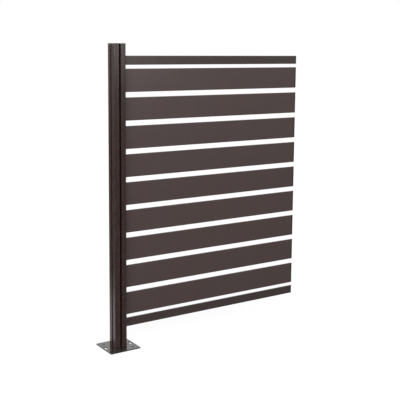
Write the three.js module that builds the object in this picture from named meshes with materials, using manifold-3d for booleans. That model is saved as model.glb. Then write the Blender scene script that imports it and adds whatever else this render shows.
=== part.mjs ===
// Garden privacy screen: a grooved aluminium post on a base plate, with a panel of nine wide
// slats between two narrow rails held in the groove of its right-hand face.
//
// Millimetres, +Z up. X runs along the panel, from the post to the free end, and -Y is the
// front. The origin is on the underside of the base plate, below the centre of the post.

import * as THREE from 'three';
import * as BufferGeometryUtils from 'three/addons/utils/BufferGeometryUtils.js';
import Module from 'manifold-3d';

const wasm = await Module();
wasm.setup();

// ---------------------------------------------------------------------------
// Driving dimensions
// ---------------------------------------------------------------------------

const FIT = 0.3; // play left between two pieces that touch
const ROUND_STEPS = 24; // sides of a small round hole or screw
const CORNER_STEPS = 4; // steps in the quarter turn of a rounded corner
const SLOT_END_STEPS = 8; // steps in the quarter turn at the end of an anchor slot

const PLATE = { side: 152, thickness: 5, corner: 2.5 };
const ANCHOR_SLOT = { width: 12.5, length: 35, x: 63.5 };
const FIXING_HOLE = { radius: 4.5, spacing: 100 };

const POST = { side: 60, top: 1394, corner: 4, wall: 2.2 };
const GROOVE = { width: 10, depth: 16 };
const SCREW_PORT = { offset: 20.6, outer: 4.6, bore: 2.7, web: 2.4 };

const POST_CAP = { thickness: 3, chamfer: 0.6, plugDepth: 14 };

const BASE_SCREW = { shank: 2.4, head: 5, headHeight: 2.6, sunk: 0.4, length: 26, tip: 2 };
const BASE_SCREW_SOCKET = { radius: 1.9, depth: 1.6 };

// The panel, in the height of each member and of the gaps that part them.
const PANEL = { bottom: 89.5, start: 16, length: 1006, thickness: 8, edge: 2, wall: 1.3 };
const SLAT = { count: 9, height: 105, chambers: 3 };
const RAIL = { height: 41, chambers: 1 };
const SLAT_GAP = 24;
const RAIL_GAP = 17;

const END_CAP = { thickness: 7.7, tongue: 18 };
const SPACER = { depth: 13, edge: 1 };
const CLAMP_BLOCK = { height: 30, depth: 13, thickness: 9.2, edge: 1 };
const SET_SCREW = { radius: 2.9, bore: 3.3, length: 11 };
const SET_SCREW_SOCKET = { radius: 1.5, depth: 3 };

const CUT = 1; // how far a cutting shape runs past the face that it cuts

// ---------------------------------------------------------------------------
// Finishes
// ---------------------------------------------------------------------------

const FINISH = {
  slatCoat: { color: 0x4e4442, roughness: 0.42, metalness: 0.3 },
  railCoat: { color: 0x463d3b, roughness: 0.42, metalness: 0.3 },
  postCoat: { color: 0x4a403e, roughness: 0.35, metalness: 0.3 },
  plateCoat: { color: 0x4c4341, roughness: 0.28, metalness: 0.3 },
  capPlastic: { color: 0x2b2625, roughness: 0.55, metalness: 0 },
  spacerPlastic: { color: 0x1f1d1c, roughness: 0.6, metalness: 0 },
  clampAlloy: { color: 0x3d3735, roughness: 0.5, metalness: 0.5 },
  zincSteel: { color: 0xb4b6b8, roughness: 0.35, metalness: 1 },
};

// ---------------------------------------------------------------------------
// Helpers: outlines, extrusions and solids
// ---------------------------------------------------------------------------

/** A rectangle centred on the origin, with rounded corners. */
function roundedRectangle(width, height, radius) {
  const outline = new THREE.Shape();
  const x = width / 2 - radius;
  const y = height / 2 - radius;
  outline.moveTo(x + radius, -y);
  outline.lineTo(x + radius, y);
  outline.absarc(x, y, radius, 0, Math.PI / 2);
  outline.absarc(-x, y, radius, Math.PI / 2, Math.PI);
  outline.absarc(-x, -y, radius, Math.PI, 1.5 * Math.PI);
  outline.absarc(x, -y, radius, 1.5 * Math.PI, 2 * Math.PI);
  outline.closePath();
  return outline;
}

/** A plain rectangular hole for a shape, centred on x = 0. */
function rectangularHole(width, height, centreY) {
  const hole = new THREE.Path();
  hole.moveTo(-width / 2, centreY - height / 2);
  hole.lineTo(width / 2, centreY - height / 2);
  hole.lineTo(width / 2, centreY + height / 2);
  hole.lineTo(-width / 2, centreY + height / 2);
  hole.closePath();
  return hole;
}

/**
 * A square with rounded corners and one rectangular groove in the middle of each side. The same
 * function draws the outside of the post and, with the wall taken off, its inner chamber.
 */
function groovedSquare(half, radius, grooveHalf, grooveFloor) {
  const centre = half - radius; // of the corner arc, in x and in y
  const onOneSide = [
    [half, -grooveHalf],
    [grooveFloor, -grooveHalf],
    [grooveFloor, grooveHalf],
    [half, grooveHalf],
    [half, centre],
  ];
  const shape = new THREE.Shape();
  shape.moveTo(half, -centre);
  for (let side = 0; side < 4; side += 1) {
    const turn = (side * Math.PI) / 2;
    const cos = Math.round(Math.cos(turn));
    const sin = Math.round(Math.sin(turn));
    for (const [x, y] of onOneSide) shape.lineTo(x * cos - y * sin, x * sin + y * cos);
    shape.absarc(centre * (cos - sin), centre * (sin + cos), radius, turn, turn + Math.PI / 2);
  }
  shape.closePath();
  return shape;
}

/** A shape drawn out along +Z, with its two ends chamfered if asked. An arc gets two steps a segment. */
function extrudeUp(shape, height, { chamfer = 0, quarterSteps = CORNER_STEPS } = {}) {
  return new THREE.ExtrudeGeometry(shape, {
    depth: height - 2 * chamfer,
    curveSegments: quarterSteps / 2,
    bevelEnabled: chamfer > 0,
    bevelThickness: chamfer,
    bevelSize: chamfer,
    bevelOffset: -chamfer,
    bevelSegments: 1,
  }).translate(0, 0, chamfer);
}

/** A shape drawn with its x along Y and its y along Z, drawn out along +X. */
function extrudeAlongPanel(shape, length) {
  const alongX = new THREE.Matrix4().makeBasis(
    new THREE.Vector3(0, 1, 0),
    new THREE.Vector3(0, 0, 1),
    new THREE.Vector3(1, 0, 0),
  );
  return extrudeUp(shape, length).applyMatrix4(alongX);
}

/** A round bar standing on z = 0. */
function roundBar(radius, height, sides = ROUND_STEPS) {
  return new THREE.CylinderGeometry(radius, radius, height, sides)
    .rotateX(Math.PI / 2)
    .translate(0, 0, height / 2);
}

/** Turns a closed three.js geometry into a solid that can be joined and cut. */
function solidFrom(geometry) {
  const bare = geometry.clone();
  bare.deleteAttribute('normal');
  bare.deleteAttribute('uv');
  const merged = BufferGeometryUtils.mergeVertices(bare, 1e-4);
  return new wasm.Manifold(new wasm.Mesh({
    numProp: 3,
    vertProperties: new Float32Array(merged.attributes.position.array),
    triVerts: new Uint32Array(merged.index.array),
  }));
}

/** Turns a solid back into a flat-shaded three.js geometry. */
function geometryFrom(solid) {
  const mesh = solid.getMesh();
  const geometry = new THREE.BufferGeometry();
  geometry.setAttribute('position', new THREE.BufferAttribute(mesh.vertProperties, 3));
  geometry.setIndex(new THREE.BufferAttribute(mesh.triVerts, 1));
  const flat = geometry.toNonIndexed();
  flat.computeVertexNormals();
  return flat;
}

/** Joins some geometries to one and cuts others out of it. */
function combine(joined, cut = []) {
  let solid = solidFrom(joined[0]);
  for (const geometry of joined.slice(1)) solid = solid.add(solidFrom(geometry));
  for (const geometry of cut) solid = solid.subtract(solidFrom(geometry));
  return geometryFrom(solid);
}

/** A named piece with a material of its own. */
function piece(name, geometry, finish, x = 0, y = 0, z = 0) {
  const mesh = new THREE.Mesh(geometry, new THREE.MeshStandardMaterial({ name, ...finish }));
  mesh.name = name;
  mesh.position.set(x, y, z);
  return mesh;
}

/** The four corners (sx, sy) of a centred pattern. */
const FOUR_CORNERS = [[1, 1], [-1, 1], [-1, -1], [1, -1]];

// ---------------------------------------------------------------------------
// Base plate and its screws
// ---------------------------------------------------------------------------

/** One anchor slot, long in Y, with round ends, as a cutting shape. */
function anchorSlotCutter(x) {
  const outline = roundedRectangle(ANCHOR_SLOT.width, ANCHOR_SLOT.length, ANCHOR_SLOT.width / 2);
  const cutter = extrudeUp(outline, PLATE.thickness + 2 * CUT, { quarterSteps: SLOT_END_STEPS });
  return cutter.translate(x, 0, -CUT);
}

/** A round hole through the plate, as a cutting shape. */
function plateHoleCutter(radius, x, y) {
  return roundBar(radius, PLATE.thickness + 2 * CUT).translate(x, y, -CUT);
}

/** The countersink that takes a screw head from below, as a cutting shape. */
function countersinkCutter(x, y) {
  const slope = (BASE_SCREW.head - BASE_SCREW.shank) / BASE_SCREW.headHeight;
  const depth = BASE_SCREW.headHeight + BASE_SCREW.sunk;
  const mouth = BASE_SCREW.shank + FIT + slope * (depth + CUT);
  return new THREE.CylinderGeometry(BASE_SCREW.shank + FIT, mouth, depth + CUT, ROUND_STEPS)
    .rotateX(Math.PI / 2)
    .translate(x, y, (depth - CUT) / 2);
}

/** The square plate, with two anchor slots, four fixing holes and the holes of the post's screws. */
function basePlate() {
  const outline = roundedRectangle(PLATE.side, PLATE.side, PLATE.corner);
  const cuts = [anchorSlotCutter(ANCHOR_SLOT.x), anchorSlotCutter(-ANCHOR_SLOT.x)];
  const fixing = FIXING_HOLE.spacing / 2;
  const port = SCREW_PORT.offset;
  for (const [sx, sy] of FOUR_CORNERS) {
    cuts.push(plateHoleCutter(FIXING_HOLE.radius, sx * fixing, sy * fixing));
    cuts.push(plateHoleCutter(BASE_SCREW.shank + FIT, sx * port, sy * port));
    cuts.push(countersinkCutter(sx * port, sy * port));
  }
  return combine([extrudeUp(outline, PLATE.thickness)], cuts);
}

/** A countersunk screw standing on its head, with a hexagon socket in the head. */
function baseScrew() {
  const { shank, head, headHeight, length, tip } = BASE_SCREW;
  const profile = [
    [0, 0],
    [head, 0],
    [shank, headHeight],
    [shank, length - tip],
    [shank / 2, length],
    [0, length],
  ].map(([r, height]) => new THREE.Vector2(r, height));
  const body = new THREE.LatheGeometry(profile, ROUND_STEPS).rotateX(Math.PI / 2);
  const { radius, depth } = BASE_SCREW_SOCKET;
  const socket = roundBar(radius, depth + CUT, 6).translate(0, 0, -CUT);
  return combine([body], [socket]);
}

// ---------------------------------------------------------------------------
// Post and cap
// ---------------------------------------------------------------------------

const POST_HEIGHT = POST.top - PLATE.thickness - FIT;
const GROOVE_FLOOR = POST.side / 2 - GROOVE.depth;
const CHAMBER_HALF = GROOVE_FLOOR - POST.wall; // half width of the open core between the grooves

/** A screw port and the web that ties it to the corner of the post, before its bore is cut. */
function screwPort(sx, sy) {
  const { offset, outer, web } = SCREW_PORT;
  const reach = (POST.side / 2 - POST.wall - offset) * Math.SQRT2;
  const boss = roundBar(outer, POST_HEIGHT).translate(sx * offset, sy * offset, 0);
  const rib = new THREE.BoxGeometry(reach, web, POST_HEIGHT)
    .translate(reach / 2 + offset * Math.SQRT2, 0, POST_HEIGHT / 2)
    .rotateZ(Math.atan2(sy, sx));
  return [boss, rib];
}

/** The post: an outside and a chamber of the same form, a wall apart, and four screw ports. */
function post() {
  const half = POST.side / 2;
  const { wall, corner } = POST;
  const outside = groovedSquare(half, corner, GROOVE.width / 2, GROOVE_FLOOR);
  const chamber = groovedSquare(half - wall, corner - wall, GROOVE.width / 2 + wall, CHAMBER_HALF);
  const hollow = extrudeUp(chamber, POST_HEIGHT + 2 * CUT).translate(0, 0, -CUT);
  const tube = combine([extrudeUp(outside, POST_HEIGHT)], [hollow]);
  const ports = FOUR_CORNERS.flatMap(([sx, sy]) => screwPort(sx, sy));
  const bores = FOUR_CORNERS.map(([sx, sy]) => roundBar(SCREW_PORT.bore, POST_HEIGHT + 2 * CUT)
    .translate(sx * SCREW_PORT.offset, sy * SCREW_PORT.offset, -CUT));
  return combine([tube, ...ports], bores);
}

/** A flush lid over the post and its grooves, with a plug that fills the core of the post. */
function postCap() {
  const outline = roundedRectangle(POST.side, POST.side, POST.corner);
  const lid = extrudeUp(outline, POST_CAP.thickness, { chamfer: POST_CAP.chamfer });
  const plugSide = 2 * (CHAMBER_HALF - FIT);
  const plug = new THREE.BoxGeometry(plugSide, plugSide, POST_CAP.plugDepth + CUT)
    .translate(0, 0, (CUT - POST_CAP.plugDepth) / 2);
  return combine([lid, plug]);
}

// ---------------------------------------------------------------------------
// Panel: hollow members, their end caps, and what holds them in the groove
// ---------------------------------------------------------------------------

/** The centre height and the size of each chamber inside a member. */
function chamberRows(height, chambers) {
  const { wall, thickness } = PANEL;
  const rowHeight = (height - wall * (chambers + 1)) / chambers;
  const rows = [];
  for (let row = 0; row < chambers; row += 1) {
    const centre = -height / 2 + wall + rowHeight / 2 + row * (rowHeight + wall);
    rows.push({ centre, height: rowHeight, width: thickness - 2 * wall });
  }
  return rows;
}

/** A slat or rail: a thin hollow profile along X, centred on y = 0 and z = 0. */
function hollowMember(height, chambers) {
  const profile = roundedRectangle(PANEL.thickness, height, PANEL.edge);
  for (const row of chamberRows(height, chambers)) {
    profile.holes.push(rectangularHole(row.width, row.height, row.centre));
  }
  return extrudeAlongPanel(profile, PANEL.length);
}

/** The cap of a member: a flange as tall as the member, and a tongue in each chamber. */
function endCap(height, chambers) {
  const outline = roundedRectangle(PANEL.thickness, height, PANEL.edge);
  const flange = extrudeAlongPanel(outline, END_CAP.thickness);
  const tongues = chamberRows(height, chambers).map((row) => new THREE.BoxGeometry(
    END_CAP.tongue + CUT,
    row.width - 2 * FIT,
    row.height - 2 * FIT,
  ).translate((CUT - END_CAP.tongue) / 2, 0, row.centre));
  return combine([flange, ...tongues]);
}

/** A block that lies in the groove, between two members. Its outer edges are rounded. */
function groovePiece(depth, thickness, height, edge) {
  return extrudeUp(roundedRectangle(depth, thickness, edge), height);
}

/** A block that a set screw jams in the groove, with the hole of the screw through it. */
function clampBlock() {
  const { depth, thickness, height, edge } = CLAMP_BLOCK;
  const block = groovePiece(depth, thickness, height, edge);
  const hole = roundBar(SET_SCREW.bore, depth + 2 * CUT)
    .rotateY(Math.PI / 2)
    .translate(-depth / 2 - CUT, 0, height / 2);
  return combine([block], [hole]);
}

/** A set screw lying along X, its point at x = 0 and a hexagon socket in its outer end. */
function setScrew() {
  const { radius: shank, length } = SET_SCREW;
  const profile = [[0, 0], [shank / 2, 0], [shank, shank / 2], [shank, length], [0, length]]
    .map(([r, height]) => new THREE.Vector2(r, height));
  const body = new THREE.LatheGeometry(profile, ROUND_STEPS).rotateX(Math.PI / 2);
  const { radius, depth } = SET_SCREW_SOCKET;
  const socket = roundBar(radius, depth + CUT, 6).translate(0, 0, length - depth);
  return combine([body], [socket]).rotateY(Math.PI / 2);
}

/** The members of the panel from the top down, each with the height of its lower edge. */
function panelMembers() {
  const slats = Array.from({ length: SLAT.count }, (_, index) => ({
    name: `slat_${index + 1}`,
    height: SLAT.height,
    chambers: SLAT.chambers,
    finish: FINISH.slatCoat,
    gapBelow: SLAT_GAP,
  }));
  slats[SLAT.count - 1].gapBelow = RAIL_GAP;
  const topRail = { name: 'top_rail', ...RAIL, finish: FINISH.railCoat, gapBelow: RAIL_GAP };
  const bottomRail = { name: 'bottom_rail', ...RAIL, finish: FINISH.railCoat, gapBelow: 0 };
  const members = [topRail, ...slats, bottomRail];
  const total = members.reduce((sum, member) => sum + member.height + member.gapBelow, 0);
  let top = PANEL.bottom + total;
  for (const member of members) {
    member.bottom = top - member.height;
    top = member.bottom - member.gapBelow;
  }
  return members;
}

/** A member and the cap on its free end. */
function cappedMember({ name, height, chambers, finish, bottom }) {
  const middle = bottom + height / 2;
  const capX = PANEL.start + PANEL.length + FIT;
  return [
    piece(name, hollowMember(height, chambers), finish, PANEL.start, 0, middle),
    piece(`${name}_end_cap`, endCap(height, chambers), FINISH.capPlastic, capX, 0, middle),
  ];
}

/** The spacer in the groove below a member, which carries it on the member beneath. */
function spacerBelow({ bottom, gapBelow }, number) {
  const block = groovePiece(SPACER.depth, PANEL.thickness, gapBelow - 2 * FIT, SPACER.edge);
  const x = PANEL.start + SPACER.depth / 2;
  return piece(`groove_spacer_${number}`, block, FINISH.spacerPlastic, x, 0, bottom - gapBelow + FIT);
}

/** A clamp block with its lower end at a height in the groove, and the set screw that jams it. */
function clampedBlock(name, bottom) {
  const x = PANEL.start + CLAMP_BLOCK.depth / 2;
  const screwHeight = bottom + CLAMP_BLOCK.height / 2;
  return [
    piece(name, clampBlock(), FINISH.clampAlloy, x, 0, bottom),
    piece(`${name}_set_screw`, setScrew(), FINISH.zincSteel, GROOVE_FLOOR + FIT, 0, screwHeight),
  ];
}

/** The whole panel: members, end caps, spacers, and the two blocks that hold the stack in place. */
function panel() {
  const group = new THREE.Group();
  const members = panelMembers();
  for (const member of members) group.add(...cappedMember(member));
  members.slice(0, -1).forEach((member, index) => group.add(spacerBelow(member, index + 1)));
  const [topMember] = members;
  group.add(...clampedBlock('top_lock', topMember.bottom + topMember.height + FIT));
  group.add(...clampedBlock('bottom_stop', PANEL.bottom - FIT - CLAMP_BLOCK.height));
  return group;
}

// ---------------------------------------------------------------------------
// The whole screen
// ---------------------------------------------------------------------------

/** The base plate, the post on it, its cap and the screws that hold it down. */
function standingPost() {
  const group = new THREE.Group();
  group.add(piece('base_plate', basePlate(), FINISH.plateCoat));
  group.add(piece('post', post(), FINISH.postCoat, 0, 0, PLATE.thickness + FIT));
  group.add(piece('post_cap', postCap(), FINISH.postCoat, 0, 0, POST.top + FIT));
  FOUR_CORNERS.forEach(([sx, sy], index) => {
    const x = sx * SCREW_PORT.offset;
    const y = sy * SCREW_PORT.offset;
    group.add(piece(`base_screw_${index + 1}`, baseScrew(), FINISH.zincSteel, x, y, BASE_SCREW.sunk));
  });
  return group;
}

const screen = new THREE.Group();
screen.add(standingPost(), panel());

export default screen;
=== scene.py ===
"""Garden privacy screen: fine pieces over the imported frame, their finishes, and the studio."""

import logging
import math
from dataclasses import dataclass, field
from enum import Enum
from functools import reduce
from typing import Callable, Iterable, Sequence, Union

import bmesh
import bpy
from mathutils import Matrix, Vector


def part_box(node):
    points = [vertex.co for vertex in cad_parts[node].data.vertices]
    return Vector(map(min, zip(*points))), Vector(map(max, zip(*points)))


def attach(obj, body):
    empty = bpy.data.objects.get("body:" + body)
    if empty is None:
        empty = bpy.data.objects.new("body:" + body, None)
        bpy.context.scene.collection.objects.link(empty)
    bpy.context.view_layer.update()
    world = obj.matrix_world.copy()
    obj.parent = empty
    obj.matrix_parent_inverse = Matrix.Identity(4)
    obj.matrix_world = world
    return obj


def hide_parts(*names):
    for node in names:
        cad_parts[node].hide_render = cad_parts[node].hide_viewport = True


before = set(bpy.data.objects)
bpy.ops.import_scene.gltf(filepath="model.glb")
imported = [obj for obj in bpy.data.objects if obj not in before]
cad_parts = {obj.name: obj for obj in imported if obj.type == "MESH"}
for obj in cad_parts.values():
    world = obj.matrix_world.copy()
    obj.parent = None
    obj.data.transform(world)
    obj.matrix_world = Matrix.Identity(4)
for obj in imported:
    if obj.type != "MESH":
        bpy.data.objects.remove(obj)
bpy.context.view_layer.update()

LOG = logging.getLogger("privacy_screen")
MM = 0.001
HAIR = 0.001 * MM  # two places that are closer than this are the same
NEAR = 0.010 * MM  # the looser test, for places that a bevel or a wall has moved
MEAN = 0.5  # the middle of a noise value
WEAR = "edge_wear"  # the point attribute that is 1 on a rounded edge and 0 away from it
Number = Union[float, "Signal"]
Colour = tuple[float, float, float]


# ---------------------------------------------------------------------------
# Shader maths
# ---------------------------------------------------------------------------


class Signal:
    """A value socket in a node tree, which can be used in Python arithmetic."""

    def __init__(self, board: "NodeBoard", socket: bpy.types.NodeSocket) -> None:
        """Wraps an output socket.

        Args:
            board: the board that the socket's node is on.
            socket: the output socket.
        """
        self.board = board
        self.socket = socket

    def _with(self, operation: str, first: Number, second: Number) -> "Signal":
        """Adds a Math node.

        Args:
            operation: the Math node's operation.
            first: its first value.
            second: its second value.

        Returns:
            The node's result.
        """
        return self.board.math(operation, first, second)

    def __add__(self, other: Number) -> "Signal":
        """self + other."""
        return self._with("ADD", self, other)

    __radd__ = __add__

    def __sub__(self, other: Number) -> "Signal":
        """self - other."""
        return self._with("SUBTRACT", self, other)

    def __rsub__(self, other: Number) -> "Signal":
        """other - self."""
        return self._with("SUBTRACT", other, self)

    def __mul__(self, other: Number) -> "Signal":
        """self * other."""
        return self._with("MULTIPLY", self, other)

    __rmul__ = __mul__


class NodeBoard:
    """The node tree of one material or world, with short ways to add to it."""

    def __init__(self, tree: bpy.types.NodeTree) -> None:
        """Empties the tree.

        Args:
            tree: the node tree to build in.
        """
        self.tree = tree
        tree.nodes.clear()

    def node(self, kind: str, settings: dict | None = None, inputs: dict | None = None) -> bpy.types.Node:
        """Adds any node.

        Args:
            kind: the node's type, such as ShaderNodeMath.
            settings: its own properties, set before its sockets.
            inputs: values or links of its sockets, by name or number.

        Returns:
            The new node.
        """
        made = self.tree.nodes.new(kind)
        for name, value in (settings or {}).items():
            setattr(made, name, value)
        for key, value in (inputs or {}).items():
            self.plug(made.inputs[key], value)
        return made

    def plug(self, socket: bpy.types.NodeSocket, value: object) -> None:
        """Gives a socket a value or a link.

        Args:
            socket: the input socket.
            value: a Signal, an output socket, a number or a tuple.
        """
        if isinstance(value, Signal):
            value = value.socket
        if isinstance(value, bpy.types.NodeSocket):
            self.tree.links.new(value, socket)
        else:
            socket.default_value = value

    def math(self, operation: str, first: Number, second: Number = 0.0) -> Signal:
        """Adds a Math node.

        Args:
            operation: the node's operation.
            first: its first value.
            second: its second value.

        Returns:
            The node's result.
        """
        made = self.node("ShaderNodeMath", {"operation": operation}, {0: first, 1: second})
        return Signal(self, made.outputs[0])

    def ramp(self, value: Number, low: float, high: float) -> Signal:
        """A smooth step from 0 at low to 1 at high.

        Args:
            value: what is tested.
            low: where the step starts.
            high: where it ends.

        Returns:
            The step's value.
        """
        made = self.node(
            "ShaderNodeMapRange",
            {"interpolation_type": "SMOOTHSTEP"},
            {"Value": value, "From Min": low, "From Max": high, "To Min": 0.0, "To Max": 1.0},
        )
        return Signal(self, made.outputs[0])

    def place(self) -> bpy.types.NodeSocket:
        """The surface point in the object's own metres."""
        return self.node("ShaderNodeTexCoord").outputs["Object"]

    def axis(self, point: bpy.types.NodeSocket, name: str) -> Signal:
        """One coordinate of a point.

        Args:
            point: the vector socket.
            name: X, Y or Z.

        Returns:
            That coordinate.
        """
        return Signal(self, self.node("ShaderNodeSeparateXYZ", inputs={0: point}).outputs[name])

    def stretched(self, point: bpy.types.NodeSocket, scale: Sequence[float]) -> bpy.types.NodeSocket:
        """A point with its three coordinates scaled.

        Args:
            point: the vector socket.
            scale: the factor along each axis.

        Returns:
            The scaled vector.
        """
        made = self.node("ShaderNodeMapping", inputs={"Vector": point, "Scale": tuple(scale)})
        return made.outputs["Vector"]

    def noise(self, point: bpy.types.NodeSocket, size: float, detail: float = 2.0,
              rough: float = 0.5) -> Signal:
        """Smooth noise between 0 and 1.

        Args:
            point: the vector that it follows.
            size: the size of its features, in metres.
            detail: how many finer layers it has.
            rough: how strong those layers are.

        Returns:
            The noise value.
        """
        made = self.node(
            "ShaderNodeTexNoise",
            {"noise_dimensions": "3D"},
            {"Vector": point, "Scale": 1.0 / size, "Detail": detail, "Roughness": rough},
        )
        return Signal(self, made.outputs["Fac"])

    def attribute(self, name: str) -> Signal:
        """A point attribute of the piece, which is 0 on a piece that has none."""
        return Signal(self, self.node("ShaderNodeAttribute", {"attribute_name": name}).outputs["Fac"])

    def mix(self, factor: Number, first: object, second: object) -> bpy.types.NodeSocket:
        """A mix of two colours.

        Args:
            factor: 0 for the first, 1 for the second.
            first: a colour or a colour socket.
            second: a colour or a colour socket.

        Returns:
            The mixed colour.
        """
        made = self.node("ShaderNodeMix", {"data_type": "RGBA", "clamp_factor": True}, {"Factor": factor})
        sockets = [s for s in made.inputs if s.type == "RGBA"]
        self.plug(sockets[0], rgba(first))
        self.plug(sockets[1], rgba(second))
        return next(s for s in made.outputs if s.type == "RGBA")

    def bump(self, height: Signal, depth: float) -> bpy.types.NodeSocket:
        """A Bump node.

        Args:
            height: the height field, between 0 and 1.
            depth: the height of 1, in metres.

        Returns:
            The bent normal.
        """
        made = self.node("ShaderNodeBump", inputs={"Strength": 1.0, "Distance": depth, "Height": height})
        return made.outputs["Normal"]

    def ray(self, *kinds: str) -> Signal:
        """Tells some kinds of ray from all others.

        Args:
            kinds: their names, as on the Light Path node.

        Returns:
            1 for a ray of any of these kinds, and 0 for the others.
        """
        path = self.node("ShaderNodeLightPath")
        rays = [Signal(self, path.outputs[f"Is {kind} Ray"]) for kind in kinds]
        return reduce(lambda first, second: self.math("MAXIMUM", first, second), rays)

    def surface(self, shader: bpy.types.Node) -> None:
        """Sends a shader to the tree's surface output."""
        self.node("ShaderNodeOutputMaterial", inputs={"Surface": shader.outputs[0]})


def new_paint(name: str) -> tuple[bpy.types.Material, NodeBoard]:
    """Starts a material.

    Args:
        name: its name.

    Returns:
        The material and its empty board.
    """
    material = bpy.data.materials.new(name)
    material.use_nodes = True
    return material, NodeBoard(material.node_tree)


def rgba(colour: object) -> object:
    """A colour tuple with its alpha, or the socket that was given."""
    return (*colour, 1.0) if isinstance(colour, tuple) and len(colour) == 3 else colour


def scaled(colour: Colour, factor: float) -> Colour:
    """A colour made lighter or darker."""
    return tuple(min(1.0, channel * factor) for channel in colour)


# ---------------------------------------------------------------------------
# Finishes
# ---------------------------------------------------------------------------


class Recess(Enum):
    """The hollows of a piece, where the coat gets painted shade: a darker colour, and a duller finish."""

    NONE = "none"
    GROOVES = "grooves"
    SLOTS = "slots"


# Where the painted shade of a hollow fades out, as the two ends of a smooth step from the hollow to the open
# face.
GROOVE_MOUTH = (25.5 * MM, 28.5 * MM)  # outwards from the post's axis
SLOT_FOOT = (0.4 * MM, 0.8 * MM)  # upwards from the plate's underside
SLOT_HEAD = (4.0 * MM, 4.6 * MM)
PLATE_RIM = (73.0 * MM, 74.5 * MM)  # outwards from the plate's middle


@dataclass(frozen=True)
class PowderCoat:
    """Satin powder coat: a fine orange peel, faint clouds in its tone, paler rounded edges, and painted shade
    in its hollows.
    """

    name: str
    colour: Colour
    roughness: float
    specular: float = 0.5
    warmth: float = 0.05
    hue_size: float = 350 * MM
    cloud: float = 0.07
    cloud_size: float = 160 * MM
    streak_size: float = 30 * MM
    streak_stretch: tuple[float, float, float] = (0.25, 1.0, 1.0)
    grain_tone: float = 0.05
    grain_dull: float = 0.06
    dust_size: float = 90 * MM
    dust_dull: float = 0.10
    edge_lift: float = 1.35
    chip_size: float = 12 * MM
    chip_step: tuple[float, float] = (0.35, 0.75)
    chip_part: float = 0.55
    chip_shine: float = 0.05
    shaded_recess: Recess = Recess.NONE
    recess_shade_tone: float = 0.25
    recess_shade_part: float = 0.8
    recess_dull: float = 0.45
    peel_size: float = 1.3 * MM
    peel_depth: float = 0.010 * MM

    def make(self) -> bpy.types.Material:
        """Builds the material.

        Returns:
            The material.
        """
        material, board = new_paint(self.name)
        point = board.place()
        # Painted shade: down in the hollows the colour is darkened and the roughness raised.
        recess_shade = self._recess_shade_mask(board, point)
        grain = board.noise(point, self.peel_size * 0.45, detail=1.0)
        chips = board.ramp(board.noise(point, self.chip_size, detail=3.0), *self.chip_step)
        wear = board.attribute(WEAR) * chips
        shade = self._shade(board, point, grain)
        worn = board.mix(wear * self.chip_part, shade, scaled(self.colour, self.edge_lift))
        peel = board.noise(point, self.peel_size, detail=2.0, rough=0.45)
        dust = board.noise(point, self.dust_size, detail=4.0, rough=0.6)
        dull = self.roughness + (dust - MEAN) * self.dust_dull + (grain - MEAN) * self.grain_dull
        shader = board.node(
            "ShaderNodeBsdfPrincipled",
            inputs={
                "Base Color": board.mix(recess_shade * self.recess_shade_part, worn, scaled(self.colour, self.recess_shade_tone)),
                "Roughness": dull - wear * self.chip_shine + recess_shade * self.recess_dull,
                "Specular IOR Level": self.specular,
                "Normal": board.bump(peel, self.peel_depth),
            },
        )
        board.surface(shader)
        return material

    def _shade(self, board: NodeBoard, point: bpy.types.NodeSocket, grain: Signal) -> bpy.types.NodeSocket:
        """The open coat's colour, with its clouds, streaks and slow change of hue.

        Args:
            board: the material's board.
            point: the surface point.
            grain: the fine grain, which changes the tone too.

        Returns:
            The colour.
        """
        red, green, blue = self.colour
        warm = (red * (1 + self.warmth), green, blue * (1 - self.warmth))
        cool = (red * (1 - self.warmth), green, blue * (1 + self.warmth))
        hue = board.mix(board.noise(point, self.hue_size, detail=1.0), warm, cool)
        clouds = board.noise(point, self.cloud_size, detail=3.0, rough=0.55)
        streaks = board.noise(board.stretched(point, self.streak_stretch), self.streak_size)
        uneven = (clouds - MEAN) * (2.0 * self.cloud) + (streaks - MEAN) * self.cloud
        tone = 1.0 + uneven + (grain - MEAN) * self.grain_tone
        return board.node("ShaderNodeVectorMath", {"operation": "SCALE"}, {0: hue, "Scale": tone}).outputs[0]

    def _recess_shade_mask(self, board: NodeBoard, point: bpy.types.NodeSocket) -> Number:
        """How far a point lies down in one of the piece's hollows, which sets the painted shade there.

        Args:
            board: the material's board.
            point: the surface point.

        Returns:
            0 on the open faces, 1 in the hollow.
        """
        if self.shaded_recess is Recess.NONE:
            return 0.0
        across = [board.math("ABSOLUTE", board.axis(point, name)) for name in "XY"]
        reach = board.math("MAXIMUM", *across)
        if self.shaded_recess is Recess.GROOVES:
            return 1.0 - board.ramp(reach, *GROOVE_MOUTH)
        height = board.axis(point, "Z")
        walls = board.ramp(height, *SLOT_FOOT) * (1.0 - board.ramp(height, *SLOT_HEAD))
        return walls * (1.0 - board.ramp(reach, *PLATE_RIM))


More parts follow.
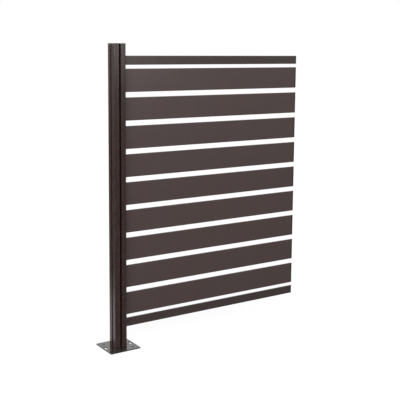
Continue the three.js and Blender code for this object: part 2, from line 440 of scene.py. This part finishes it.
@dataclass(frozen=True)
class MouldedPlastic:
    """Moulded plastic with a spark-eroded skin: a fine, even grain and slight changes of gloss."""

    name: str
    colour: Colour
    roughness: float
    specular: float = 0.5
    grain_size: float = 0.5 * MM
    grain_depth: float = 0.012 * MM
    grain_dull: float = 0.14
    flow_size: float = 8 * MM
    flow_stretch: tuple[float, float, float] = (1.0, 1.0, 0.3)
    flow_tones: tuple[float, float] = (0.88, 1.12)
    flow_dull: float = 0.08
    scuff_size: float = 6 * MM
    scuff_step: tuple[float, float] = (0.3, 0.8)
    scuff_part: float = 0.5
    scuff_lift: float = 1.6

    def make(self) -> bpy.types.Material:
        """Builds the material.

        Returns:
            The material.
        """
        material, board = new_paint(self.name)
        point = board.place()
        grain = board.noise(point, self.grain_size, detail=2.0, rough=0.6)
        flow = board.noise(board.stretched(point, self.flow_stretch), self.flow_size, detail=3.0)
        wear = board.attribute(WEAR) * board.ramp(board.noise(point, self.scuff_size), *self.scuff_step)
        base = board.mix(flow, *(scaled(self.colour, tone) for tone in self.flow_tones))
        dull = (grain - MEAN) * self.grain_dull + (flow - MEAN) * self.flow_dull
        shader = board.node(
            "ShaderNodeBsdfPrincipled",
            inputs={
                "Base Color": board.mix(wear * self.scuff_part, base, scaled(self.colour, self.scuff_lift)),
                "Roughness": self.roughness + dull,
                "Specular IOR Level": self.specular,
                "Normal": board.bump(grain, self.grain_depth),
            },
        )
        board.surface(shader)
        return material


@dataclass(frozen=True)
class PlainMetal:
    """Bare or plated metal: drawn along one axis, with fine scratches and a slight haze."""

    name: str
    colour: Colour
    roughness: float
    drawn: tuple[float, float, float] = (1.0, 1.0, 0.1)
    scratch_size: float = 0.35 * MM
    scratch_depth: float = 0.004 * MM
    scratch_dull: float = 0.1
    haze_size: float = 4 * MM
    haze_tones: tuple[float, float] = (0.85, 1.05)
    haze_dull: float = 0.2

    def make(self) -> bpy.types.Material:
        """Builds the material.

        Returns:
            The material.
        """
        material, board = new_paint(self.name)
        point = board.place()
        scratch = board.noise(board.stretched(point, self.drawn), self.scratch_size, detail=3.0, rough=0.6)
        haze = board.noise(point, self.haze_size, detail=3.0)
        dull = (haze - MEAN) * self.haze_dull + (scratch - MEAN) * self.scratch_dull
        shader = board.node(
            "ShaderNodeBsdfPrincipled",
            inputs={
                "Base Color": board.mix(haze, *(scaled(self.colour, tone) for tone in self.haze_tones)),
                "Metallic": 1.0,
                "Roughness": self.roughness + dull,
                "Normal": board.bump(scratch, self.scratch_depth),
            },
        )
        board.surface(shader)
        return material


Finish = Union[PowderCoat, MouldedPlastic, PlainMetal]


class Coat(Enum):
    """The finishes of the screen, by the piece that wears them."""

    SLAT = PowderCoat("slat_powder_coat", (0.0750, 0.0520, 0.0495), 0.30)
    RAIL = PowderCoat("rail_powder_coat", (0.0525, 0.0375, 0.0355), 0.28)
    # The post's grooves and the walls of the plate's slots and holes get painted shade.
    POST = PowderCoat("post_powder_coat", (0.0320, 0.0174, 0.0152), 0.23, edge_lift=2.8,
                      shaded_recess=Recess.GROOVES)
    PLATE = PowderCoat("plate_powder_coat", (0.0205, 0.0140, 0.0132), 0.14, edge_lift=2.2, specular=1.0,
                       shaded_recess=Recess.SLOTS)
    CAP = MouldedPlastic("post_cap_plastic", (0.0300, 0.0250, 0.0240), 0.36)
    END = MouldedPlastic("end_cap_plastic", (0.0060, 0.0050, 0.0048), 0.55, specular=0.3)
    SPACER = MouldedPlastic("spacer_plastic", (0.0085, 0.0078, 0.0075), 0.55)
    CLAMP = PlainMetal("clamp_dark_alloy", (0.09, 0.085, 0.08), 0.45)
    ZINC = PlainMetal("zinc_plated_steel", (0.62, 0.63, 0.64), 0.30)

    def material(self) -> bpy.types.Material:
        """The finish's material, which is built when it is first asked for."""
        finish: Finish = self.value
        return bpy.data.materials.get(finish.name) or finish.make()


# ---------------------------------------------------------------------------
# Mesh helpers
# ---------------------------------------------------------------------------


def rounded_rectangle(bm: bmesh.types.BMesh, width: float, height: float, radius: float, steps: int,
                      centre: Sequence[float] = (0.0, 0.0)) -> None:
    """Adds a flat rectangle with rounded corners on z = 0.

    Args:
        bm: the mesh to add to.
        width: its size in x.
        height: its size in y.
        radius: the radius of its corners.
        steps: the number of steps in a corner.
        centre: its middle, in x and y.
    """
    made = bmesh.ops.create_grid(bm, x_segments=1, y_segments=1, size=0.5)
    bmesh.ops.scale(bm, vec=(width, height, 1.0), verts=made["verts"])
    bmesh.ops.translate(bm, vec=(centre[0], centre[1], 0.0), verts=made["verts"])
    round_corners(bm, made["verts"], radius, steps)


def round_corners(bm: bmesh.types.BMesh, corners: Iterable[bmesh.types.BMVert], radius: float,
                  steps: int) -> None:
    """Rounds corners of a flat outline.

    Args:
        bm: the mesh that holds the outline.
        corners: the corner vertices.
        radius: their new radius.
        steps: the number of steps in each.
    """
    bmesh.ops.bevel(bm, geom=list(corners), offset=radius, offset_type="OFFSET", segments=steps,
                    profile=0.5, affect="VERTICES", material=-1, clamp_overlap=False)


def circle(bm: bmesh.types.BMesh, radius: float, centre: Sequence[float], steps: int) -> None:
    """Adds a ring of edges on z = 0.

    Args:
        bm: the mesh to add to.
        radius: the ring's radius.
        centre: its middle, in x and y.
        steps: its number of edges.
    """
    made = bmesh.ops.create_circle(bm, cap_ends=False, radius=radius, segments=steps)
    bmesh.ops.translate(bm, vec=(centre[0], centre[1], 0.0), verts=made["verts"])


def keep_outlines(bm: bmesh.types.BMesh) -> None:
    """Deletes every face and keeps the edges."""
    bmesh.ops.delete(bm, geom=bm.faces[:], context="FACES_ONLY")


def fill_outlines(bm: bmesh.types.BMesh) -> None:
    """Fills the outlines on z = 0 with faces, leaving the inner ones open."""
    bmesh.ops.triangle_fill(bm, use_beauty=True, use_dissolve=False, edges=bm.edges[:],
                            normal=(0.0, 0.0, 1.0))


def raise_faces(bm: bmesh.types.BMesh, height: float) -> None:
    """Extrudes all the faces of a flat mesh up to a closed solid.

    Args:
        bm: the flat mesh.
        height: how far it is raised.
    """
    made = bmesh.ops.extrude_face_region(bm, geom=bm.faces[:])
    top = [g for g in made["geom"] if isinstance(g, bmesh.types.BMVert)]
    bmesh.ops.translate(bm, vec=(0.0, 0.0, height), verts=top)
    bmesh.ops.recalc_face_normals(bm, faces=bm.faces[:])


def raise_edges(bm: bmesh.types.BMesh, height: float) -> None:
    """Extrudes all the edges of a flat outline up to an open skin.

    Args:
        bm: the mesh that holds only the outline.
        height: how far it is raised.
    """
    made = bmesh.ops.extrude_edge_only(bm, edges=bm.edges[:])
    top = [g for g in made["geom"] if isinstance(g, bmesh.types.BMVert)]
    bmesh.ops.translate(bm, vec=(0.0, 0.0, height), verts=top)


def cut_across(bm: bmesh.types.BMesh, normal: Sequence[float], places: Iterable[float]) -> None:
    """Adds a loop of edges at each of some places along an axis.

    Args:
        bm: the mesh to cut.
        normal: the axis.
        places: the distances from the origin along it.
    """
    axis = Vector(normal)
    for place in places:
        geom = bm.verts[:] + bm.edges[:] + bm.faces[:]
        bmesh.ops.bisect_plane(bm, geom=geom, dist=0.1 * HAIR, plane_co=axis * place, plane_no=axis)


def soften(bm: bmesh.types.BMesh, test: Callable[[bmesh.types.BMEdge], bool], radius: float,
           steps: int) -> None:
    """Rounds the edges that pass a test.

    Args:
        bm: the mesh.
        test: says of an edge whether it is rounded.
        radius: how far the round reaches.
        steps: the number of steps in it.
    """
    chosen = [e for e in bm.edges if test(e)]
    bmesh.ops.bevel(bm, geom=chosen, offset=radius, offset_type="OFFSET", segments=steps,
                    profile=0.5, affect="EDGES", material=-1, clamp_overlap=True)


def mark_wear(bm: bmesh.types.BMesh, amount: Callable[[Vector], float]) -> None:
    """Stores how much each vertex lies on a worn edge.

    Args:
        bm: the mesh.
        amount: gives 0 to 1 for a place.
    """
    layer = bm.verts.layers.float.new(WEAR)
    for vert in bm.verts:
        vert[layer] = amount(vert.co)


# ---------------------------------------------------------------------------
# Pieces
# ---------------------------------------------------------------------------


SHARP = math.radians(35)  # an edge that turns more than this stays sharp
RIM_TURN = math.radians(30)  # an edge that turns more than this bounds a face of the plate
STRAIGHT = 0.1  # an outline that turns less than this at a point, in radians, runs straight there


def publish(bm: bmesh.types.BMesh, name: str, node: str, coat: Coat,
            wall: float = 0.0) -> bpy.types.Object:
    """Turns a finished mesh into a piece that stands for a node of the frame.

    Args:
        bm: the mesh, in place, in metres.
        name: the piece's name.
        node: the node that it stands for.
        coat: its finish.
        wall: the inward thickness of an open skin, or 0 for a closed mesh.

    Returns:
        The new object.
    """
    for face in bm.faces:
        face.smooth = True
    for edge in bm.edges:
        edge.smooth = edge.is_boundary or edge.calc_face_angle(0.0) < SHARP
    mesh = bpy.data.meshes.new(name)
    bm.to_mesh(mesh)
    bm.free()
    piece = bpy.data.objects.new(name, mesh)
    bpy.context.scene.collection.objects.link(piece)
    mesh.materials.append(coat.material())
    if wall:
        shell = piece.modifiers.new("wall", "SOLIDIFY")
        shell.thickness = wall
        shell.offset = -1.0
        shell.use_even_offset = True
    normals = piece.modifiers.new("flat_faces_stay_flat", "WEIGHTED_NORMAL")
    normals.keep_sharp = True
    normals.weight = 100
    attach(piece, "root")
    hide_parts(node)
    LOG.info("%s: %d faces, stands for %s", name, len(mesh.polygons), node)
    return piece


@dataclass
class BasePlate:
    """The square steel plate, with two anchor slots, four fixing holes and four countersunk holes."""

    corner: float = 2.5 * MM
    edge: float = 0.7 * MM
    slot_width: float = 12.5 * MM
    slot_length: float = 35 * MM
    slot_x: float = 63.5 * MM
    hole_radius: float = 4.5 * MM
    hole_place: float = 50 * MM
    screw_place: float = 20.6 * MM
    screw_radius: float = 2.7 * MM
    screw_mouth: float = 5.7 * MM
    screw_depth: float = 3.0 * MM
    wear_reach: float = 1.2  # in radii of the rounded edge
    corners: tuple[tuple[int, int], ...] = ((1, 1), (-1, 1), (-1, -1), (1, -1))

    def build(self) -> bpy.types.Object:
        """Builds the plate.

        Returns:
            The piece.
        """
        low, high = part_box("base_plate")
        side, thickness = high.x - low.x, high.z - low.z
        end_radius = self.slot_width / 2 - HAIR
        bm = bmesh.new()
        rounded_rectangle(bm, side, side, self.corner, steps=6)
        for x in (self.slot_x, -self.slot_x):
            rounded_rectangle(bm, self.slot_width, self.slot_length, end_radius, steps=12, centre=(x, 0.0))
        for sx, sy in self.corners:
            circle(bm, self.hole_radius, (sx * self.hole_place, sy * self.hole_place), steps=32)
            circle(bm, self.screw_radius, (sx * self.screw_place, sy * self.screw_place), steps=24)
        keep_outlines(bm)
        fill_outlines(bm)
        raise_faces(bm, thickness)
        cut_across(bm, (0, 0, 1), (self.screw_depth,))
        self._open_countersinks(bm)
        soften(bm, lambda e: self._is_rim(e, thickness), self.edge, steps=3)
        mark_wear(bm, lambda p: self._wear(p, side / 2, thickness))
        return publish(bm, "plate_steel", "base_plate", Coat.PLATE)

    def _open_countersinks(self, bm: bmesh.types.BMesh) -> None:
        """Widens the lower mouths of the four screw holes.

        Args:
            bm: the plate's mesh.
        """
        grow = self.screw_mouth / self.screw_radius
        for sx, sy in self.corners:
            centre = Vector((sx * self.screw_place, sy * self.screw_place, 0.0))
            low = [v for v in bm.verts if v.co.z < HAIR]
            mouth = [v for v in low if (v.co - centre).length < self.screw_radius + NEAR]
            bmesh.ops.scale(bm, vec=(grow, grow, 1.0), verts=mouth, space=Matrix.Translation(-centre))

    @staticmethod
    def _is_rim(edge: bmesh.types.BMEdge, thickness: float) -> bool:
        """Whether an edge bounds the top or bottom face at a wall.

        Args:
            edge: the edge.
            thickness: the plate's thickness.

        Returns:
            True where the edge is to be rounded.
        """
        upper = all(v.co.z > thickness - HAIR for v in edge.verts)
        lower = all(v.co.z < HAIR for v in edge.verts)
        return (upper or lower) and edge.calc_face_angle(0.0) > RIM_TURN

    def _wear(self, place: Vector, half: float, thickness: float) -> float:
        """How much a vertex lies on the plate's worn upper rim.

        Args:
            place: the vertex.
            half: half the plate's side.
            thickness: its thickness.

        Returns:
            0 to 1.
        """
        reach = self.edge * self.wear_reach
        outer = max(abs(place.x), abs(place.y)) > half - reach
        return 1.0 if outer and place.z > thickness - reach else 0.0


@dataclass
class Post:
    """The square hollow extrusion, with a groove down the middle of each side."""

    corner: float = 4 * MM
    lip: float = 0.9 * MM
    floor_round: float = 0.6 * MM
    groove_half: float = 5 * MM
    groove_floor: float = 14 * MM
    wall: float = 2.2 * MM
    corner_margin: float = 1.5 * MM
    end_margin: float = 3 * MM

    def build(self) -> bpy.types.Object:
        """Builds the post.

        Returns:
            The piece.
        """
        low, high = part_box("post")
        half = high.x
        bm = bmesh.new()
        self._outline(bm, half)
        raise_edges(bm, high.z - low.z)
        bmesh.ops.recalc_face_normals(bm, faces=bm.faces[:])
        band = half - self.corner - self.corner_margin
        cut_across(bm, (1, 0, 0), (band, -band))
        cut_across(bm, (0, 1, 0), (band, -band))
        bmesh.ops.translate(bm, vec=(0.0, 0.0, low.z), verts=bm.verts[:])
        cut_across(bm, (0, 0, 1), (low.z + self.end_margin, high.z - self.end_margin))
        mark_wear(bm, lambda p: self._wear(p, half, high.z))
        return publish(bm, "post_extrusion", "post", Coat.POST, self.wall)

    def _outline(self, bm: bmesh.types.BMesh, half: float) -> None:
        """Draws the grooved square on z = 0, as edges alone.

        Args:
            bm: an empty mesh.
            half: half the post's side.
        """
        lines = (-half, -self.groove_floor, -self.groove_half, self.groove_half, self.groove_floor, half)
        cells = len(lines) - 1
        bmesh.ops.create_grid(bm, x_segments=cells, y_segments=cells, size=0.5)
        for vert in bm.verts:
            vert.co.x = lines[round((vert.co.x + 0.5) * cells)]
            vert.co.y = lines[round((vert.co.y + 0.5) * cells)]
        grooves = [f for f in bm.faces if self._in_groove(f.calc_center_median())]
        bmesh.ops.delete(bm, geom=grooves, context="FACES")
        bmesh.ops.dissolve_faces(bm, faces=bm.faces[:])
        straight = [v for v in bm.verts if v.calc_edge_angle(0.0) < STRAIGHT]
        bmesh.ops.dissolve_verts(bm, verts=straight)
        outer = [v for v in bm.verts if min(abs(v.co.x), abs(v.co.y)) > half - HAIR]
        round_corners(bm, outer, self.corner, steps=8)
        lips = [v for v in bm.verts if self._is_lip(v.co, half)]
        round_corners(bm, lips, self.lip, steps=4)
        floors = [v for v in bm.verts if self._is_floor_corner(v.co)]
        round_corners(bm, floors, self.floor_round, steps=3)
        keep_outlines(bm)

    def _in_groove(self, place: Vector) -> bool:
        """Whether a place in the section lies in one of the four grooves."""
        small, large = sorted((abs(place.x), abs(place.y)))
        return small < self.groove_half and large > self.groove_floor

    def _is_lip(self, place: Vector, half: float) -> bool:
        """Whether a corner of the section is where a groove meets the outside."""
        small, large = sorted((abs(place.x), abs(place.y)))
        return abs(small - self.groove_half) < HAIR and abs(large - half) < HAIR

    def _is_floor_corner(self, place: Vector) -> bool:
        """Whether a corner of the section is at the floor of a groove."""
        small, large = sorted((abs(place.x), abs(place.y)))
        return abs(small - self.groove_half) < HAIR and abs(large - self.groove_floor) < HAIR

    def _wear(self, place: Vector, half: float, top: float) -> float:
        """How much a vertex lies on a worn corner or on the worn upper end.

        Args:
            place: the vertex.
            half: half the post's side.
            top: the height of its upper end.

        Returns:
            0 to 1.
        """
        small, large = sorted((abs(place.x), abs(place.y)))
        corner = small > half - self.corner - NEAR
        lip = large > half - self.lip and small < self.groove_half + self.lip + NEAR
        return 1.0 if corner or lip or place.z > top - NEAR else 0.0


@dataclass
class PostCap:
    """The flush lid of the post, with the plug that holds it in the core."""

    corner: float = 4 * MM
    lid: float = 3 * MM
    upper_round: float = 0.9 * MM
    lower_round: float = 0.4 * MM
    plug_half: float = 11.5 * MM
    plug_taper: float = 0.95

    def build(self) -> bpy.types.Object:
        """Builds the cap.

        Returns:
            The piece.
        """
        low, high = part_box("post_cap")
        side = high.x - low.x
        under = high.z - self.lid
        bm = bmesh.new()
        rounded_rectangle(bm, side, side, self.corner, steps=8)
        raise_faces(bm, self.lid)
        soften(bm, lambda e: all(v.co.z > self.lid - HAIR for v in e.verts), self.upper_round, steps=4)
        soften(bm, lambda e: all(v.co.z < HAIR for v in e.verts), self.lower_round, steps=2)
        bmesh.ops.translate(bm, vec=(0.0, 0.0, under), verts=bm.verts[:])
        self._plug(bm, low.z, under)
        mark_wear(bm, lambda p: 1.0 if self._on_upper_rim(p, side / 2, high.z) else 0.0)
        return publish(bm, "post_lid", "post_cap", Coat.CAP)

    def _plug(self, bm: bmesh.types.BMesh, bottom: float, top: float) -> None:
        """Adds the plug under the lid, narrower at its foot.

        Args:
            bm: the mesh to add to.
            bottom: the height of its foot.
            top: the height of the lid's underside.
        """
        made = bmesh.ops.create_cube(bm, size=1.0)
        depth = top - bottom
        bmesh.ops.scale(bm, vec=(2 * self.plug_half, 2 * self.plug_half, depth), verts=made["verts"])
        bmesh.ops.translate(bm, vec=(0.0, 0.0, bottom + depth / 2), verts=made["verts"])
        foot = [v for v in made["verts"] if v.co.z < bottom + depth / 2]
        bmesh.ops.scale(bm, vec=(self.plug_taper, self.plug_taper, 1.0), verts=foot)

    def _on_upper_rim(self, place: Vector, half: float, top: float) -> bool:
        """Whether a vertex lies on the lid's rounded upper edge."""
        return max(abs(place.x), abs(place.y)) > half - self.corner and place.z > top - self.upper_round


PANEL_TURN = Matrix(((0, 0, 1, 0), (1, 0, 0, 0), (0, 1, 0, 0), (0, 0, 0, 1)))  # x, y, z to Y, Z, X


@dataclass
class Member:
    """A slat or rail: a thin hollow profile along X, with rounded edges and ribs inside."""

    node: str
    slot: str
    coat: Coat
    chambers: int
    edge: float = 2 * MM
    wall: float = 1.3 * MM
    edge_margin: float = 2.5 * MM
    end_margin: float = 3 * MM
    rib_play: float = 1 * MM

    def build(self) -> bpy.types.Object:
        """Builds the member.

        Returns:
            The piece.
        """
        low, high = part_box(self.node)
        thickness, height, length = high.y - low.y, high.z - low.z, high.x - low.x
        bm = bmesh.new()
        rounded_rectangle(bm, thickness, height, self.edge, steps=8)
        keep_outlines(bm)
        raise_edges(bm, length)
        bmesh.ops.recalc_face_normals(bm, faces=bm.faces[:])
        band = height / 2 - self.edge - self.edge_margin
        cut_across(bm, (0, 1, 0), (band, -band))
        cut_across(bm, (0, 0, 1), (length - self.end_margin,))
        self._ribs(bm, thickness, height, length)
        bmesh.ops.transform(bm, matrix=PANEL_TURN, verts=bm.verts[:])
        bmesh.ops.translate(bm, vec=(low.x, 0.0, (low.z + high.z) / 2), verts=bm.verts[:])
        mark_wear(bm, lambda p: self._wear(p, low, high))
        return publish(bm, f"{self.node}_profile", self.node, self.coat, self.wall)

    def _ribs(self, bm: bmesh.types.BMesh, thickness: float, height: float, length: float) -> None:
        """Adds the thin ribs between the chambers, from wall to wall.

        Args:
            bm: the mesh to add to, still lying along z.
            thickness: the member's thickness.
            height: its height.
            length: its length.
        """
        row = (height - self.wall) / self.chambers
        for number in range(1, self.chambers):
            made = bmesh.ops.create_grid(bm, x_segments=1, y_segments=1, size=0.5)
            verts = made["verts"]
            bmesh.ops.rotate(bm, verts=verts, cent=(0, 0, 0), matrix=Matrix.Rotation(math.pi / 2, 3, "X"))
            bmesh.ops.scale(bm, vec=(thickness - self.wall, 1.0, length - self.rib_play), verts=verts)
            place = -height / 2 + self.wall + number * row
            bmesh.ops.translate(bm, vec=(0.0, place, length / 2), verts=verts)

    def _wear(self, place: Vector, low: Vector, high: Vector) -> float:
        """How much a vertex lies on a worn long edge or on the worn free end.

        Args:
            place: the vertex.
            low: the member's lowest corner.
            high: its highest corner.

        Returns:
            0 to 1.
        """
        long_edge = min(place.z - low.z, high.z - place.z) < self.edge + NEAR
        return 1.0 if long_edge or place.x > high.x - NEAR else 0.0


@dataclass
class EndCap:
    """The plastic cap of a member: a flange with a rounded rim, and a tongue in each chamber."""

    node: str
    chambers: int
    flange: float = 7.7 * MM
    corner: float = 2 * MM
    rim: float = 0.7 * MM
    wall: float = 1.3 * MM
    play: float = 0.3 * MM
    wear_reach: float = 1.1  # in radii of the rounded rim

    def build(self) -> bpy.types.Object:
        """Builds the cap.

        Returns:
            The piece.
        """
        low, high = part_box(self.node)
        thickness, height = high.y - low.y, high.z - low.z
        bm = bmesh.new()
        rounded_rectangle(bm, thickness, height, self.corner, steps=6)
        raise_faces(bm, self.flange)
        soften(bm, lambda e: all(v.co.z > self.flange - HAIR for v in e.verts), self.rim, steps=3)
        self._tongues(bm, thickness, height, high.x - low.x - self.flange)
        bmesh.ops.transform(bm, matrix=PANEL_TURN, verts=bm.verts[:])
        bmesh.ops.translate(bm, vec=(high.x - self.flange, 0.0, (low.z + high.z) / 2), verts=bm.verts[:])
        mark_wear(bm, lambda p: 1.0 if p.x > high.x - self.rim and self._on_rim(p, low, high) else 0.0)
        return publish(bm, f"{self.node}_moulding", self.node, Coat.END)

    def _tongues(self, bm: bmesh.types.BMesh, thickness: float, height: float, depth: float) -> None:
        """Adds the tongues behind the flange, one for each chamber of the member.

        Args:
            bm: the mesh to add to, still lying along z.
            thickness: the flange's thickness across the panel.
            height: its height.
            depth: how far the tongues reach.
        """
        row = (height - self.wall * (self.chambers + 1)) / self.chambers
        width = thickness - 2 * self.wall - 2 * self.play
        for number in range(self.chambers):
            made = bmesh.ops.create_cube(bm, size=1.0)
            verts = made["verts"]
            bmesh.ops.scale(bm, vec=(width, row - 2 * self.play, depth), verts=verts)
            place = -height / 2 + self.wall + row / 2 + number * (row + self.wall)
            bmesh.ops.translate(bm, vec=(0.0, place, -depth / 2), verts=verts)

    def _on_rim(self, place: Vector, low: Vector, high: Vector) -> bool:
        """Whether a vertex lies near the outline of the flange."""
        inside = min(place.z - low.z, high.z - place.z, place.y - low.y, high.y - place.y)
        return inside < self.rim * self.wear_reach


@dataclass
class Panel:
    """All the slats and rails, from the top down, with the caps on their free ends."""

    slats: int = 9

    def build(self) -> list[bpy.types.Object]:
        """Builds every member and its end cap.

        Returns:
            All the pieces.
        """
        names = ["top_rail", *(f"slat_{n + 1}" for n in range(self.slats)), "bottom_rail"]
        made = []
        for name in names:
            rail = name.endswith("rail")
            slot, coat, chambers = ("rail_coat", Coat.RAIL, 1) if rail else ("slat_coat", Coat.SLAT, 3)
            made.append(Member(name, slot, coat, chambers).build())
            made.append(EndCap(f"{name}_end_cap", chambers).build())
        return made


@dataclass
class HiddenParts:
    """The pieces in the groove and under the plate, which keep the frame's own shapes."""

    coats: dict[str, Coat] = field(default_factory=lambda: {
        "groove_spacer": Coat.SPACER,
        "base_screw": Coat.ZINC,
        "set_screw": Coat.ZINC,
        "top_lock": Coat.CLAMP,
        "bottom_stop": Coat.CLAMP,
    })

    def dress(self) -> None:
        """Gives each of them its finish."""
        for name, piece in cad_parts.items():
            coat = next((c for key, c in self.coats.items() if key in name), None)
            if coat is None:
                continue
            piece.data.materials.clear()
            piece.data.materials.append(coat.material())
            LOG.info("%s: dressed in %s", name, coat.value.name)


# ---------------------------------------------------------------------------
# Studio
# ---------------------------------------------------------------------------


@dataclass
class SoftBox:
    """A soft rectangular lamp that faces a point."""

    name: str
    place: tuple[float, float, float]
    aim: tuple[float, float, float]
    size: tuple[float, float]
    radiance: float

    def build(self) -> bpy.types.Object:
        """Builds the lamp.

        Returns:
            Its object.
        """
        data = bpy.data.lights.new(self.name, "AREA")
        data.shape = "RECTANGLE"
        data.size, data.size_y = self.size
        data.energy = self.radiance * math.pi * self.size[0] * self.size[1]
        lamp = bpy.data.objects.new(self.name, data)
        lamp.location = self.place
        toward = Vector(self.aim) - Vector(self.place)
        lamp.rotation_euler = toward.to_track_quat("-Z", "Y").to_euler()
        bpy.context.scene.collection.objects.link(lamp)
        return lamp


@dataclass
class Floor:
    """A wide pale floor, white to the camera, that keeps the screen's shadow.

    A paler sheet lies round the post, and fades out towards the camera: it lights the foot of the
    post from below and is seen in the gloss of the post and the plate.
    """

    reach: float = 12.0
    drop: float = 0.3 * MM
    shadow_part: float = 0.18
    white_part: float = 0.84
    far_tone: float = 0.18
    sheet_tone: float = 0.60
    sheet_white: float = 0.25
    sheet_edge: tuple[float, float] = (0.45, 1.35)
    sheet_front: tuple[float, float] = (-0.25, 0.15)

    def build(self) -> bpy.types.Object:
        """Builds the floor.

        Returns:
            Its object.
        """
        bm = bmesh.new()
        bmesh.ops.create_grid(bm, x_segments=1, y_segments=1, size=self.reach)
        bmesh.ops.translate(bm, vec=(0.0, 0.0, -self.drop), verts=bm.verts[:])
        mesh = bpy.data.meshes.new("pale_floor")
        bm.to_mesh(mesh)
        bm.free()
        floor = bpy.data.objects.new("pale_floor", mesh)
        bpy.context.scene.collection.objects.link(floor)
        mesh.materials.append(self._paint())
        return floor

    def _paint(self) -> bpy.types.Material:
        """Builds the paint: part diffuse, so that shadows show, and part plain white for the camera.

        Returns:
            The material.
        """
        material, board = new_paint("pale_floor_paint")
        seen = board.ray("Camera", "Transmission")
        glossy = board.ray("Glossy")
        point = board.place()
        away = board.node("ShaderNodeVectorMath", {"operation": "LENGTH"}, {0: point})
        round_sheet = 1.0 - board.ramp(Signal(board, away.outputs["Value"]), *self.sheet_edge)
        sheet = round_sheet * board.ramp(board.axis(point, "Y"), *self.sheet_front)
        tone = board.mix(sheet, (self.far_tone,) * 3, (self.sheet_tone,) * 3)
        tint = board.mix(seen, tone, (self.shadow_part,) * 3)
        diffuse = board.node("ShaderNodeBsdfDiffuse", inputs={"Color": tint})
        strength = seen * self.white_part + glossy * sheet * self.sheet_white
        glow = board.node("ShaderNodeEmission", inputs={"Strength": strength})
        both = board.node("ShaderNodeAddShader", inputs={0: diffuse.outputs[0], 1: glow.outputs[0]})
        board.surface(both)
        return material


@dataclass
class Room:
    """The world: white to the camera, and to light and reflections a room that is paler above."""

    below: float = 0.22
    above: float = 1.05
    horizon: tuple[float, float] = (-0.20, 0.36)

    def build(self) -> None:
        """Builds the world's shader."""
        world = bpy.data.worlds.new("studio_room")
        bpy.context.scene.world = world
        world.use_nodes = True
        board = NodeBoard(world.node_tree)
        seen = board.ray("Camera", "Transmission")
        rise = board.axis(board.node("ShaderNodeTexCoord").outputs["Generated"], "Z")
        room = self.below + board.ramp(rise, *self.horizon) * (self.above - self.below)
        strength = seen + (1.0 - seen) * room
        sky = board.node("ShaderNodeBackground", inputs={"Color": (1.0, 1.0, 1.0, 1.0), "Strength": strength})
        board.node("ShaderNodeOutputWorld", inputs={"Surface": sky.outputs[0]})


@dataclass
class PhotoCamera:
    """The camera of the photograph, from a fit to the straight edges of the screen.

    It looks down a little more than the best fit and shifts less, so that other views, which keep
    the shift, hold the screen too. The focal length and the centre are in pixels of the picture.
    """

    place: tuple[float, float, float] = (-1.72824, -3.30477, 1.39631)
    yaw: float = 0.6032
    pitch: float = 0.1300
    roll: float = 0.0104
    focal_pixels: float = 828.84
    centre: tuple[float, float] = (217.50, 152.776)
    picture: float = 400.0
    sensor: float = 36.0
    clip: tuple[float, float] = (0.05, 100.0)

    def build(self) -> bpy.types.Object:
        """Builds the camera and makes it the scene's.

        Returns:
            Its object.
        """
        data = bpy.data.cameras.new("photo_camera")
        data.sensor_width = self.sensor
        data.lens = self.focal_pixels / self.picture * data.sensor_width
        data.shift_x = (self.picture / 2 - self.centre[0]) / self.picture
        data.shift_y = (self.centre[1] - self.picture / 2) / self.picture
        data.clip_start, data.clip_end = self.clip
        camera = bpy.data.objects.new("photo_camera", data)
        camera.matrix_world = self._matrix()
        bpy.context.scene.collection.objects.link(camera)
        bpy.context.scene.camera = camera
        return camera

    def _matrix(self) -> Matrix:
        """Works out the camera's place and turn.

        Returns:
            Its world matrix.
        """
        sy, cy = math.sin(self.yaw), math.cos(self.yaw)
        sp, cp = math.sin(self.pitch), math.cos(self.pitch)
        sr, cr = math.sin(self.roll), math.cos(self.roll)
        right, up = Vector((cy, -sy, 0.0)), Vector((sy * sp, cy * sp, cp))
        ahead = Vector((sy * cp, cy * cp, -sp))
        turned = Matrix((right * cr + up * sr, up * cr - right * sr, -ahead)).transposed()
        return Matrix.Translation(self.place) @ turned.to_4x4()


@dataclass
class Studio:
    """Plain soft studio light round the screen."""

    lamps: Sequence[SoftBox] = (
        SoftBox("front_box", place=(0.80, -2.47, 1.88), aim=(0.0, 0.0, 1.88), size=(1.3, 1.3),
                radiance=1.8),
        SoftBox("front_left_fill", place=(-2.2, -2.6, 2.8), aim=(0.4, 0.0, 0.7), size=(2.4, 2.0),
                radiance=1.4),
        SoftBox("left_band", place=(-2.35, -2.1, 1.62), aim=(0.0, 0.0, 1.3), size=(2.6, 0.5),
                radiance=8.0),
    )

    def build(self) -> None:
        """Builds the room, the floor and the lamps."""
        Room().build()
        Floor().build()
        for lamp in self.lamps:
            lamp.build()
            LOG.info("%s: radiance %.2f", lamp.name, lamp.radiance)


def set_look() -> None:
    """Sets the plain view transform."""
    bpy.context.scene.view_settings.view_transform = "Standard"


def main() -> None:
    """Builds the screen's pieces in order, then the studio and the camera."""
    logging.basicConfig(level=logging.INFO, format="%(name)s: %(message)s")
    BasePlate().build()
    Post().build()
    PostCap().build()
    Panel().build()
    HiddenParts().dress()
    Studio().build()
    PhotoCamera().build()
    set_look()


if __name__ == "__main__":
    main()
